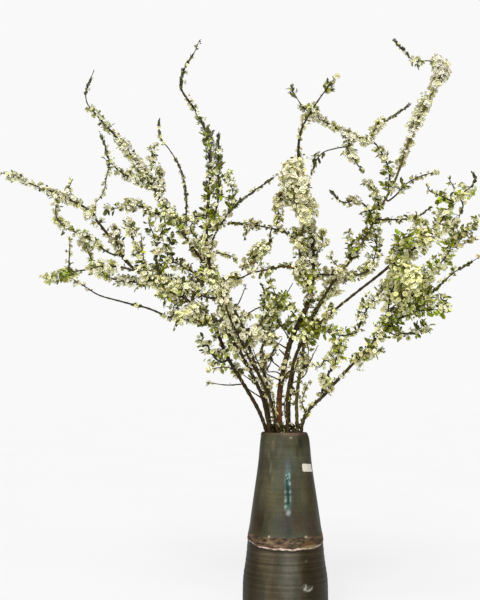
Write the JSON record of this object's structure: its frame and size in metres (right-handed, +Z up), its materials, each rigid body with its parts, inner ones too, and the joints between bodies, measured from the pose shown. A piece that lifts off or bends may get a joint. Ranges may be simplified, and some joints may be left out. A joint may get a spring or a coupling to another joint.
{
  "type": "spiraea arrangement in vase",
  "caption": "Tall tapering stoneware vase holding cut woody branches that fan out in sprays of small cream flowers and narrow leaves.",
  "frame": {"origin": "centre of the vase's foot", "axes": "+Z up along the vase's axis, -Y towards the front, +X to the viewer's right"},
  "size_m": [0.9803, 0.4706, 1.3112],
  "materials": {
    "stoneware": "mottled olive brown glaze with runs, and a rough bare band",
    "paper_label": "matt white paper, blank",
    "wood": "dark brown bark with pale lenticels",
    "spray": "soft petals and leaves on thin twigs",
    "petal": "thin matt cream petals, translucent",
    "leaf": "satin yellow green leaves with sunken veins"
  },
  "bodies": {
    "root": {"vase": "stoneware", "price_label": "paper_label", "long_left_stem": "wood", "upper_left_stem": "wood", "tall_left_stem": "wood", "back_stem": "wood", "tall_centre_stem": "wood", "tall_right_stem": "wood", "front_right_stem": "wood", "low_right_stem": "wood", "front_left_stem": "wood", "back_right_stem": "wood", "long_left_loop_shoot": "spray", "low_left_shoot": "spray", "left_flat_shoot": "spray", "left_arc_shoot": "spray", "left_inner_shoot": "spray", "left_upright_shoot": "spray", "low_leafy_shoot": "spray", "upper_left_leafy_shoot": "spray", "left_crossing_shoot": "spray", "upper_left_inner_shoot": "spray", "left_bare_twig": "spray", "centre_bare_shoot": "spray", "centre_flower_twig": "spray", "left_band_shoot": "spray", "mid_left_shoot": "spray", "low_left_flower_shoot": "spray", "inner_leafy_shoot": "spray", "tall_left_companion": "spray", "hanging_flower_shoot": "spray", "left_front_shoot": "spray", "back_flower_shoot": "spray", "thin_green_shoot": "spray", "low_centre_shoot": "spray", "front_flower_shoot": "spray", "crown_shoot": "spray", "crown_hanging_shoot": "spray", "column_shoot": "spray", "flat_centre_branch": "spray", "hanging_centre_shoot": "spray", "low_flat_branch": "spray", "centre_right_shoot": "spray", "arching_shoot": "spray", "arch_right_shoot": "spray", "arch_hanging_shoot": "spray", "arch_bare_twig": "spray", "right_upper_shoot": "spray", "left_curl_shoot": "spray", "right_grey_shoot": "spray", "right_loop_shoot": "spray", "tip_twig": "spray", "right_leaf_shoot": "spray", "right_brown_shoot": "spray", "low_inner_shoot": "spray", "right_dark_shoot": "spray", "bright_shoot": "spray", "right_bare_branch": "spray", "bright_low_shoot": "spray", "right_flower_branch": "spray"}
  },
  "joints": []
}
